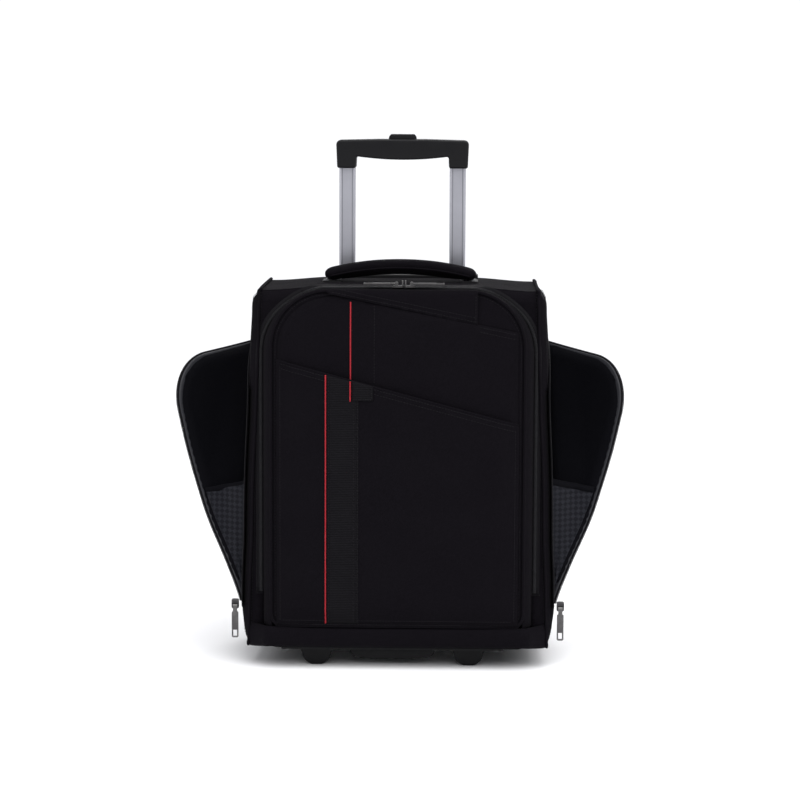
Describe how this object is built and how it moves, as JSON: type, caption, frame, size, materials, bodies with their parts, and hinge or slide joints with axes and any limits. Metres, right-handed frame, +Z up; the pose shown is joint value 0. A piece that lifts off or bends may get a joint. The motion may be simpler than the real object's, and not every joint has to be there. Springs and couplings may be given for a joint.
{
  "type": "pilot rolling flight case",
  "caption": "Soft-sided cabin case with a slanted front pocket, fold-out side pouches, a retracting pull handle and wheels at the rear.",
  "frame": {"origin": "on the floor, under the middle of the case's bounding box", "axes": "+Z up the case's height, front faces -Y, +X to the right as seen from the front"},
  "size_m": [0.5344, 0.222, 0.636],
  "materials": {
    "shell_fabric": "ballistic weave, matt",
    "lining_fabric": "printed lining, soft",
    "red_cord": "woven cord",
    "ribbed_webbing": "ribbed, double stitched",
    "zip_nylon": "nylon coil",
    "silver_edge": "grey grosgrain binding",
    "board": "stiff board",
    "moulded_black": "fine grain",
    "grip_black": "soft-touch satin",
    "silver_tube": "satin anodised",
    "tube_inner": "mill",
    "gunmetal": "gunmetal plated",
    "steel": "zinc plated",
    "wheel_tyre": "soft polyurethane",
    "wheel_hub": "moulded nylon"
  },
  "bodies": {
    "case": {"back_panel": "shell_fabric", "bottom_board": "board", "front_lower_band": "shell_fabric", "top_panel": "shell_fabric", "left_side_panel": "shell_fabric", "right_side_panel": "shell_fabric", "side_piping": "shell_fabric", "front_surround": "shell_fabric", "main_zip": "zip_nylon", "opening_wire_frame": "steel", "tube_cover_lining": "lining_fabric", "shoe_pouches": "lining_fabric", "side_zip_tapes": "zip_nylon", "outer_tubes": "tube_inner", "handle_bezel": "moulded_black", "handle_base_bracket": "moulded_black", "carry_handle_end_caps": "moulded_black", "screws_and_rivets": "steel", "wheel_housings": "moulded_black", "wheel_axles": "steel", "front_skid_plate": "moulded_black", "left_front_foot": "moulded_black", "right_front_foot": "moulded_black", "centre_skid_bar": "moulded_black"},
    "lid": {"lid_panel": "shell_fabric", "lid_rim_band": "shell_fabric", "lid_piping": "shell_fabric", "upper_pocket_panel": "shell_fabric", "front_pocket_gusset": "shell_fabric", "front_pocket_panel": "shell_fabric", "accent_band": "ribbed_webbing", "accent_piping": "red_cord"},
    "left_flap": {"left_flap_panel": "shell_fabric", "left_flap_edging": "silver_edge", "left_flap_gusset": "lining_fabric"},
    "right_flap": {"right_flap_panel": "shell_fabric", "right_flap_edging": "silver_edge", "right_flap_gusset": "lining_fabric"},
    "left_side_slider": {"left_side_zip_slider": "gunmetal"},
    "left_side_pull": {"left_side_zip_pull": "gunmetal"},
    "right_side_slider": {"right_side_zip_slider": "gunmetal"},
    "right_side_pull": {"right_side_zip_pull": "gunmetal"},
    "main_slider_left": {"main_zip_slider_left": "gunmetal"},
    "main_pull_left": {"main_zip_pull_left": "gunmetal"},
    "main_slider_right": {"main_zip_slider_right": "gunmetal"},
    "main_pull_right": {"main_zip_pull_right": "gunmetal"},
    "carry_handle": {"carry_handle_grip": "shell_fabric", "carry_handle_strap": "ribbed_webbing"},
    "middle_stage": {"middle_tubes": "silver_tube"},
    "upper_stage": {"upper_tubes": "silver_tube", "upper_tube_guides": "moulded_black", "pull_grip": "grip_black"},
    "button": {"release_button": "grip_black", "push_rods": "steel"},
    "left_pin": {"left_lock_pin": "steel"},
    "right_pin": {"right_lock_pin": "steel"},
    "left_wheel": {"left_wheel_tyre": "wheel_tyre", "left_wheel_hub": "wheel_hub"},
    "right_wheel": {"right_wheel_tyre": "wheel_tyre", "right_wheel_hub": "wheel_hub"}
  },
  "joints": [
    {"name": "lid_hinge", "type": "hinge", "parent": "case", "child": "lid", "pos_m": [0, -0.104, 0.05175], "axis": [1, 0, 0], "range_deg": [0, 95]},
    {"name": "left_flap_fold", "type": "hinge", "parent": "case", "child": "left_flap", "pos_m": [-0.1885, -0.066, 0.07609], "axis": [-0.0269, -0.4183, -0.9079], "range_deg": [-51, 20]},
    {"name": "right_flap_fold", "type": "hinge", "parent": "case", "child": "right_flap", "pos_m": [0.1885, -0.066, 0.07609], "axis": [-0.0269, 0.4183, 0.9079], "range_deg": [-51, 20]},
    {"name": "left_side_slider_travel", "type": "slide", "parent": "case", "child": "left_side_slider", "axis": [0.0296, 0, 0.9996], "range_m": [0, 0.22]},
    {"name": "left_side_pull_swing", "type": "hinge", "parent": "left_side_slider", "child": "left_side_pull", "pos_m": [-0.196, -0.0759, 0.072], "axis": [1, 0, 0], "range_deg": [-120, 0]},
    {"name": "right_side_slider_travel", "type": "slide", "parent": "case", "child": "right_side_slider", "axis": [-0.0296, 0, 0.9996], "range_m": [0, 0.22]},
    {"name": "right_side_pull_swing", "type": "hinge", "parent": "right_side_slider", "child": "right_side_pull", "pos_m": [0.196, -0.0759, 0.072], "axis": [1, 0, 0], "range_deg": [-120, 0]},
    {"name": "main_slider_left_travel", "type": "slide", "parent": "case", "child": "main_slider_left", "axis": [1, 0, 0], "range_m": [-0.078, 0]},
    {"name": "main_pull_left_swing", "type": "hinge", "parent": "main_slider_left", "child": "main_pull_left", "pos_m": [-0.0025, -0.081, 0.4629], "axis": [0, 1, 0], "range_deg": [0, 95]},
    {"name": "main_slider_right_travel", "type": "slide", "parent": "case", "child": "main_slider_right", "axis": [1, 0, 0], "range_m": [0, 0.064]},
    {"name": "main_pull_right_swing", "type": "hinge", "parent": "main_slider_right", "child": "main_pull_right", "pos_m": [0.0155, -0.081, 0.4629], "axis": [0, -1, 0], "range_deg": [0, 95]},
    {"name": "carry_handle_lift", "type": "slide", "parent": "case", "child": "carry_handle", "axis": [0, 0, 1], "range_m": [0, 0.013]},
    {"name": "middle_stage_travel", "type": "slide", "parent": "case", "child": "middle_stage", "axis": [0, 0, 1], "range_m": [0, 0.25]},
    {"name": "upper_stage_travel", "type": "slide", "parent": "middle_stage", "child": "upper_stage", "axis": [0, 0, 1], "range_m": [-0.129, 0.129]},
    {"name": "button_press", "type": "slide", "parent": "upper_stage", "child": "button", "axis": [0, 0, -1], "range_m": [0, 0.004], "stiffness_N_per_m": 900, "springref_m": -0.003},
    {"name": "left_pin_travel", "type": "slide", "parent": "upper_stage", "child": "left_pin", "axis": [1, 0, 0], "range_m": [0, 0.002]},
    {"name": "right_pin_travel", "type": "slide", "parent": "upper_stage", "child": "right_pin", "axis": [-1, 0, 0], "range_m": [0, 0.002]},
    {"name": "left_wheel_spin", "type": "hinge", "parent": "case", "child": "left_wheel", "pos_m": [-0.125, 0.083, 0.028], "axis": [1, 0, 0], "continuous": true},
    {"name": "right_wheel_spin", "type": "hinge", "parent": "case", "child": "right_wheel", "pos_m": [0.125, 0.083, 0.028], "axis": [1, 0, 0], "continuous": true}
  ],
  "couplings": [
    {"joint": "left_pin_travel", "follows": "button_press", "ratio": 0.5},
    {"joint": "right_pin_travel", "follows": "button_press", "ratio": 0.5}
  ]
}
